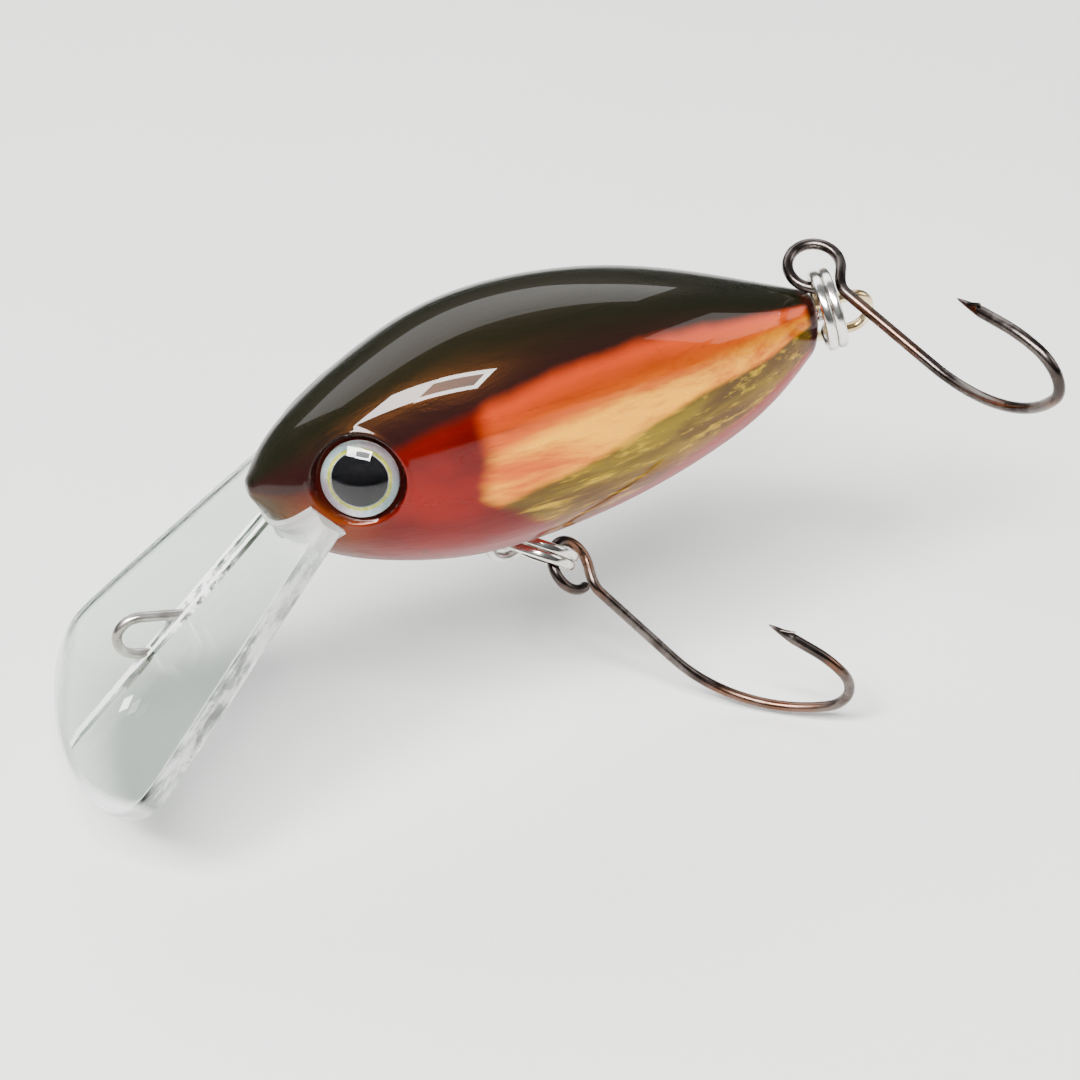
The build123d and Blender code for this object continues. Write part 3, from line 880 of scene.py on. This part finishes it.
def make_eye_dome(side):
    """The clear domed lens: a short skirt, a small rounded shoulder and a shallow cap."""
    centre, outward, across, along = eye_frame(side)
    sides = 96
    skirt_top, shoulder, crown = 0.35, 0.18, 1.30
    profile = [(EYE_RADIUS, 0.05), (EYE_RADIUS, 0.30)]
    for step in range(6):
        angle = math.pi / 2 * 0.62 * step / 5
        inset, rise = shoulder * (1 - math.cos(angle)), shoulder * math.sin(angle)
        profile.append((EYE_RADIUS - inset, skirt_top + rise))
    edge_radius, edge_height = profile[-1]
    steps = 22
    for step in range(1, steps + 1):
        share = 1 - step / steps
        radius = edge_radius * share
        profile.append((radius, edge_height + (crown - edge_height) * (1 - share**2.15)))
    vertices = []
    for radius, height in profile[:-1]:
        for step in range(sides):
            angle = 2 * math.pi * step / sides
            spoke = across * math.cos(angle) + along * math.sin(angle)
            vertices.append(place(*(centre + spoke * radius + outward * height)))
    faces = grid_faces(len(profile) - 1, sides, True)
    crown_index = len(vertices)
    vertices.append(place(*(centre + outward * crown)))
    base_index = len(vertices)
    vertices.append(place(*(centre + outward * profile[0][1])))
    last = (len(profile) - 2) * sides
    for step in range(sides):
        after = (step + 1) % sides
        faces.append((last + step, last + after, crown_index))
        faces.append((after, step, base_index))
    dome = new_mesh_object("eye_lens_left" if side < 0 else "eye_lens_right", vertices, faces)
    recalculate_normals(dome)
    sharpen(dome, 55)
    return dome


# ---- wires ----
def wire_material(name, colour, dark, roughness, tint=None):
    """Drawn or plated wire: fine lines along it, stains and small bright rubs."""
    n = Nodes(name)
    place_at = n.object_position()
    along = n.attribute("along")
    stains = n.noise(place_at, 420.0, 4.0, 0.6)
    pits = n.noise(place_at, 3000.0, 3.0, 0.7)
    lines = n.noise(place_at, 5200.0, 2.0, 0.5, stretch=(0.3, 1.0, 1.0))
    body = n.mix(n.ramp(stains, 0.38, 0.66), dark, colour)
    if tint is not None:
        patches = n.noise(place_at, 170.0, 2.0)
        body = n.mix(n.ramp(patches, 0.50, 0.68, 0.0, 0.6), body, tint)
    body = n.mix(n.ramp(pits, 0.66, 0.78, 0.0, 0.35), body, dark)
    rough = n.ramp(stains, 0.3, 0.75, roughness, roughness + 0.13)
    rough = n.plus(rough, n.both(lines, 0.03))
    rough = n.plus(rough, n.both(n.maths("SINE", n.both(along, 9.0)), 0.008))
    n.shader(
        Base_Color=body,
        Metallic=1.0,
        Roughness=rough,
        Normal=n.bump(n.plus(pits, lines), 0.06, 0.00002),
    )
    return n.material


TIE_WIRE = 0.66
TIE_REAR_LEG = 11.5
TIE_FRONT_LEG = 14.9
TIE_LEAN = 32.0
TIE_FRONT_LENGTH = 1.5
TIE_ANCHOR = 3.2
TIE_BEND = 0.75
TIE_SEAT = 0.175


def make_line_tie():
    lean = math.radians(90 - TIE_LEAN)
    along, up = math.cos(lean), math.sin(lean)
    spacing = TIE_FRONT_LEG - TIE_REAR_LEG
    rear_length = TIE_FRONT_LENGTH + spacing * along
    height = TIE_SEAT
    radius = spacing * up / 2
    rear_end = rear_length + radius
    front_end = TIE_FRONT_LENGTH + radius
    route = [
        (-1.9, height),
        (TIE_REAR_LEG, height),
        (TIE_REAR_LEG + rear_end * along, height + rear_end * up),
        (TIE_FRONT_LEG + front_end * along, height + front_end * up),
        (TIE_FRONT_LEG, height),
        (TIE_FRONT_LEG + TIE_ANCHOR, height),
    ]
    corners = [place(*lip_point(forward, 0.0, rise)) for forward, rise in route]
    radii = [TIE_BEND * MM, (radius - 0.02) * MM, (radius - 0.02) * MM, TIE_BEND * 0.7 * MM]
    points = rounded_route(corners, radii, 14)
    radius = TIE_WIRE / 2 * MM
    return tube("line_tie_loop", points, [radius] * len(points), 24, up=Vector((0, 1, 0)))


HANGER_WIRE = 0.66
TAIL_HANGER_Z = 0.68
BELLY_HANGER_DROP = 3.2


def make_hanger(name, centre, across, outward, width, reach, anchor, foot):
    half = width / 2
    corners = [
        centre - across * (half + foot) - outward * anchor,
        centre - across * half - outward * anchor,
        centre - across * half + outward * reach,
        centre + across * half + outward * reach,
        centre + across * half - outward * anchor,
        centre + across * (half + foot) - outward * anchor,
    ]
    corners = [place(*corner) for corner in corners]
    radii = [0.7 * MM, (half - 0.02) * MM, (half - 0.02) * MM, 0.7 * MM]
    points = rounded_route(corners, radii, 16)
    return tube(name, points, [HANGER_WIRE / 2 * MM] * len(points), 24, up=Vector((0, 1, 0)))


# ---- split rings ----
RING_OUTER = 5.25
COIL_HEIGHT = 0.52
COIL_WIDTH = 0.635


def make_split_ring(name, centre, axis, start_angle):
    """Two turns of flattened wire side by side, with a jog where one passes to the next."""
    axis = direction(axis)
    across = axis.cross(Vector((0.2, 0.3, 0.9))).normalized()
    other = axis.cross(across)
    middle_radius = RING_OUTER / 2 - COIL_HEIGHT / 2
    steps, sides = 300, 28
    total = 2 * 360 - 14
    vertices, alongs = [], []
    for step in range(steps + 1):
        turned = total * step / steps
        t = min(max((turned - 338) / 30, 0.0), 1.0)
        shift = (-0.5 + t * t * (3 - 2 * t)) * (COIL_WIDTH + 0.015)
        angle = math.radians(turned + start_angle)
        spoke = across * math.cos(angle) + other * math.sin(angle)
        ends = min(step, steps - step)
        size = 1.0 if ends > 3 else (0.62, 0.84, 0.94, 0.985)[ends]
        for side in range(sides):
            around = 2 * math.pi * side / sides
            c, s = math.cos(around), math.sin(around)
            radial = math.copysign(abs(c) ** 0.62, c) * COIL_HEIGHT / 2 * size
            width = math.copysign(abs(s) ** 0.72, s) * COIL_WIDTH / 2 * size
            if radial < 0:
                radial *= 0.94
            point = Vector(centre) + spoke * (middle_radius + radial) + axis * (shift + width)
            vertices.append(place(*point))
            alongs.append(math.radians(turned) * middle_radius)
    faces = grid_faces(steps + 1, sides, True)
    faces.append(tuple(range(sides)))
    faces.append(tuple(reversed(range(steps * sides, (steps + 1) * sides))))
    ring = new_mesh_object(name, vertices, faces)
    recalculate_normals(ring)
    sharpen(ring, 60)
    add_attribute(ring, "along", alongs)
    return ring


# ---- hooks ----
HOOK_WIRE = 0.72
HOOK_EYE = 1.7
HOOK_SHANK = 8.6
HOOK_RADII = (9.0, 2.4, 7.1)
HOOK_TURNS = (73.0, 103.0, 21.0)
HOOK_POINT = 3.6
HOOK_TAPER = 1.9


def make_hook(name, eye_centre, shank, gap):
    """A single hook: its eye is bent round to meet the shank, and its point carries a cut barb."""
    shank = direction(shank)
    normal = shank.cross(Vector(gap)).normalized()
    gap = normal.cross(shank)
    centre = Vector(eye_centre)

    def at(along, up, out):
        return centre + shank * along + gap * up + normal * out

    points = []
    for step in range(57):
        angle = math.radians(15 + (318 - 15) * step / 56)
        points.append(at(HOOK_EYE * math.cos(angle), 0.0, HOOK_EYE * math.sin(angle)))
    angle = math.radians(318)
    start = points[-1]
    leaving = at(-math.sin(angle), 0.0, math.cos(angle)) - centre
    meet = at(HOOK_EYE + 1.15, 0.0, 0.0)
    points += bezier_points(start, start + leaving * 0.55, meet - shank * 0.75, meet, 12)
    run_end = HOOK_EYE + HOOK_SHANK
    for step in range(1, 19):
        points.append(at(HOOK_EYE + 1.15 + (run_end - HOOK_EYE - 1.15) * step / 18, 0.0, 0.0))
    x, y, heading = run_end, 0.0, 0.0
    for radius, turn in zip(HOOK_RADII, HOOK_TURNS):
        middle_x = x - radius * math.sin(heading)
        middle_y = y + radius * math.cos(heading)
        steps = max(int(turn / 3), 6)
        for step in range(1, steps + 1):
            bearing = heading + math.radians(turn) * step / steps
            across = middle_x + radius * math.sin(bearing)
            up = middle_y - radius * math.cos(bearing)
            points.append(at(across, up, 0.0))
        heading += math.radians(turn)
        x = middle_x + radius * math.sin(heading)
        y = middle_y - radius * math.cos(heading)
    steps = 46
    for step in range(1, steps + 1):
        run = HOOK_POINT * step / steps
        points.append(at(x + run * math.cos(heading), y + run * math.sin(heading), 0.0))
    points = [place(*point) for point in points]
    lengths = [0.0]
    for a, b in zip(points, points[1:]):
        lengths.append(lengths[-1] + (b - a).length / MM)
    total = lengths[-1]
    radii = []
    for index, length in enumerate(lengths):
        left = total - length
        radius = HOOK_WIRE / 2
        if left < HOOK_TAPER:
            share = left / HOOK_TAPER
            radius *= 0.045 + 0.955 * share ** 0.72
        if index == 0:
            radius *= 0.80
        radii.append(radius * MM)

    # the barb is a sliver raised on the side that faces the shank
    barb_start, barb_end, barb_rise = 0.75, 1.75, 0.34

    def profile(index, travelled, angle, radius):
        left = total - travelled / MM
        if barb_start < left < barb_end:
            share = (left - barb_start) / (barb_end - barb_start)
            facing = max(math.cos(angle), 0.0) ** 10
            return radius + facing * barb_rise * MM * share**1.4
        return radius

    # the side vector is carried along the tube, so it starts in the plane of the bend
    return tube(name, points, radii, 28, profile=profile, up=-gap)


# ---- put everything together ----
body = make_body()
dress(body, body_material())
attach(body, "lure_body")
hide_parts("body_shell_left", "body_shell_right")

lip = make_lip()
dress(lip, clear_material("lip_plastic", (0.80, 0.87, 0.82), lip_frost))
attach(lip, "lure_body")
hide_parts("diving_lip")

rib = make_rib()
dress(rib, clear_material("rib_plastic", (0.84, 0.90, 0.86), rib_frost, 0.08))
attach(rib, "lure_body")

film_material = eye_film_material()
lens_material = clear_material("lens_resin", (0.985, 0.99, 0.985), 0.0, 0.005, 1.44)
for side, word in ((-1, "left"), (1, "right")):
    film = make_eye_film(side)
    dress(film, film_material)
    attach(film, "lure_body")
    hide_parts("eye_film_" + word)
    dome = make_eye_dome(side)
    dress(dome, lens_material)
    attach(dome, "lure_body")
    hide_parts("eye_dome_" + word)

tie = make_line_tie()
dress(tie, wire_material("tie_steel", (0.52, 0.50, 0.47), (0.26, 0.24, 0.22), 0.24))
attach(tie, "lure_body")
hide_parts("line_tie_wire")

gold_wire = wire_material("golden_wire", (0.92, 0.78, 0.50), (0.55, 0.40, 0.20), 0.18)
steel_wire = wire_material("hanger_steel", (0.62, 0.60, 0.58), (0.34, 0.30, 0.28), 0.2)
tail_hanger = make_hanger(
    "tail_hanger_loop",
    Vector((BODY_LENGTH, 0.0, TAIL_HANGER_Z)),
    across=Vector((0, 0, -1)),
    outward=Vector((1, 0, 0)),
    width=2.5,
    reach=4.1,
    anchor=3.6,
    foot=0.96,
)
dress(tail_hanger, gold_wire)
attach(tail_hanger, "lure_body")
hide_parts("tail_hanger_wire")
belly_low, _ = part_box("belly_hanger_wire")
belly_reach = (belly_low - ORIGIN).z / MM + HANGER_WIRE / 2
belly_hanger = make_hanger(
    "belly_hanger_loop",
    Vector((16.4, 0.0, belly_reach + BELLY_HANGER_DROP)),
    across=Vector((1, 0, 0)),
    outward=Vector((0, 0, -1)),
    width=2.4,
    reach=BELLY_HANGER_DROP,
    anchor=2.6,
    foot=1.6,
)
dress(belly_hanger, steel_wire)
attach(belly_hanger, "lure_body")
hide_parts("belly_hanger_wire")

nickel = wire_material("bright_nickel", (0.84, 0.82, 0.78), (0.55, 0.52, 0.48), 0.11)
for word, centre, axis, start in (
    ("tail", (38.46, -1.32, 2.35), (0.962, -0.196, 0.192), 150.0),
    ("belly", (18.32, -0.66, -11.35), (0.558, 0.483, 0.674), 100.0),
):
    ring = make_split_ring(word + "_ring_coils", centre, axis, start)
    dress(ring, nickel)
    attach(ring, word + "_ring")
    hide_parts(word + "_split_ring")

black_nickel = wire_material(
    "black_nickel", (0.135, 0.115, 0.105), (0.045, 0.035, 0.032), 0.19, tint=(0.17, 0.075, 0.040)
)
for word, eye, shank, gap in (
    ("tail", (38.54, 0.88, 4.29), (0.386, -0.870, -0.306), (-0.101, -0.369, 0.924)),
    ("belly", (20.15, -1.66, -12.47), (0.574, -0.311, -0.757), (0.568, -0.514, 0.642)),
):
    hook = make_hook(word + "_hook_wire", eye, shank, gap)
    dress(hook, black_nickel)
    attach(hook, word + "_hook")
    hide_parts(word + "_hook")

# CAD nodes that stay as they are, with better finishes
glue_finish = clear_material("adhesive", (0.93, 0.94, 0.90), 0.35, 0.08)
for node in ("lip_glue_upper", "lip_glue_lower"):
    dress(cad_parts[node], glue_finish)


def hidden_material(name, colour, metallic, roughness, scale):
    n = Nodes(name)
    place_at = n.object_position()
    grain = n.noise(place_at, scale, 4.0, 0.6)
    darker = tuple(channel * 0.6 for channel in colour)
    n.shader(
        Base_Color=n.mix(n.ramp(grain, 0.35, 0.7), darker, colour),
        Metallic=metallic,
        Roughness=n.ramp(grain, 0.3, 0.7, roughness, roughness + 0.15),
        Normal=n.bump(grain, 0.2, 0.00005),
    )
    return n.material


foil_finish = hidden_material("crinkle_foil", (0.80, 0.62, 0.24), 1.0, 0.25, 900.0)
for node in ("foil_panel_left", "foil_panel_right"):
    dress(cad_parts[node], foil_finish)
weight_finish = hidden_material("dull_weight", (0.30, 0.30, 0.31), 0.9, 0.5, 700.0)
dress(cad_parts["ballast_weight"], weight_finish)
ball_finish = hidden_material("ball_steel", (0.70, 0.70, 0.70), 1.0, 0.22, 500.0)
dress(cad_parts["rattle_ball"], ball_finish)

# ---- studio: floor, lights and camera ----
low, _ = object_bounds()
FLOOR_GAP = 0.0006
FLOOR_HALF = 1.6
floor_corners = [
    Vector((x * FLOOR_HALF, y * FLOOR_HALF, low[2] - FLOOR_GAP))
    for x, y in ((-1, -1), (1, -1), (1, 1), (-1, 1))
]
floor = new_mesh_object("studio_floor", floor_corners, [(0, 1, 2, 3)], smooth=False)
f = Nodes("pale_floor")
mottle = f.noise(f.object_position(), 30.0, 3.0)
f.shader(Base_Color=f.mix(mottle, (0.60, 0.60, 0.585), (0.64, 0.64, 0.625)), Roughness=0.9)
dress(floor, f.material)

target = place(19.0, 0.0, 0.0)


def flat_light(name, width, height, power, colour):
    data = bpy.data.lights.new(name, "AREA")
    data.shape = "RECTANGLE"
    data.size, data.size_y = width, height
    data.energy = power
    data.color = colour
    lamp = bpy.data.objects.new(name, data)
    bpy.context.scene.collection.objects.link(lamp)
    return lamp


def area_light(name, toward, distance, width, height, power, colour):
    """A flat light at a distance from the lure, facing it."""
    lamp = flat_light(name, width, height, power, colour)
    heading = direction(toward)
    lamp.location = target + heading * distance
    lamp.rotation_euler = heading.to_track_quat("Z", "Y").to_euler()


def window(heading, distance, panes, colour):
    """Flat lights side by side on one plane: left, right, bottom, top and power of each."""
    heading = direction(heading)
    sideways = Vector((0, 0, 1)).cross(heading).normalized()
    upwards = heading.cross(sideways)
    for index, (left, right_edge, bottom, top_edge, power) in enumerate(panes):
        name = "window_pane_%d" % index
        lamp = flat_light(name, right_edge - left, top_edge - bottom, power, colour)
        middle = target + heading * distance
        middle += sideways * (left + right_edge) / 2 + upwards * (bottom + top_edge) / 2
        turn_to = Matrix((sideways, upwards, heading)).transposed().to_4x4()
        lamp.matrix_world = Matrix.Translation(middle) @ turn_to


COOL_LIGHT = (0.96, 0.98, 1.0)
WARM_LIGHT = (1.0, 0.99, 0.98)
area_light("sky_panel", (0.05, 0.75, 0.80), 0.60, 0.95, 0.34, 4.2, COOL_LIGHT)


window(
    (-0.34, -0.42, 0.86),
    0.42,
    (
        (-0.18, -0.045, -0.055, 0.060, 4.2),
        (-0.045, 0.170, 0.034, 0.062, 1.9),
        (-0.045, 0.170, -0.062, -0.036, 1.8),
        (0.140, 0.170, -0.036, 0.034, 0.75),
        (-0.045, 0.140, -0.036, 0.034, 0.45),
    ),
    WARM_LIGHT,
)
area_light("tail_fill", (1.0, -0.35, 0.45), 0.55, 0.30, 0.25, 1.0, WARM_LIGHT)

world = bpy.data.worlds.new("studio_world")
world.use_nodes = True
bpy.context.scene.world = world
tree = world.node_tree
tree.nodes.clear()
coordinate = tree.nodes.new("ShaderNodeTexCoord")
split = tree.nodes.new("ShaderNodeSeparateXYZ")
rise = tree.nodes.new("ShaderNodeMapRange")
rise.inputs["From Min"].default_value = 0.10
rise.inputs["From Max"].default_value = 0.62
shade = tree.nodes.new("ShaderNodeMix")
shade.data_type = "RGBA"
shade.inputs["A"].default_value = (0.10, 0.105, 0.10, 1)
shade.inputs["B"].default_value = (0.34, 0.355, 0.37, 1)
background = tree.nodes.new("ShaderNodeBackground")
background.inputs["Strength"].default_value = 0.75
out = tree.nodes.new("ShaderNodeOutputWorld")
tree.links.new(coordinate.outputs["Generated"], split.inputs[0])
tree.links.new(split.outputs["Z"], rise.inputs["Value"])
tree.links.new(rise.outputs["Result"], shade.inputs["Factor"])
tree.links.new(shade.outputs["Result"], background.inputs["Color"])
tree.links.new(background.outputs[0], out.inputs["Surface"])

CAMERA_PLACE = (-22.156, -120.701, 94.239)
LENS_MM = 84.09
right = Vector((0.93349, -0.35570, -0.04551))
upward = Vector((0.25984, 0.58348, 0.76944))
backward = Vector((-0.24713, -0.73009, 0.63710))
camera_data = bpy.data.cameras.new("camera")
camera_data.sensor_width = 36.0
camera_data.lens = LENS_MM
camera_data.clip_start = 0.005
camera_data.clip_end = 10.0
camera = bpy.data.objects.new("camera", camera_data)
bpy.context.scene.collection.objects.link(camera)
turn = Matrix((right, upward, backward)).transposed().to_4x4()
camera.matrix_world = Matrix.Translation(place(*CAMERA_PLACE)) @ turn
bpy.context.scene.camera = camera
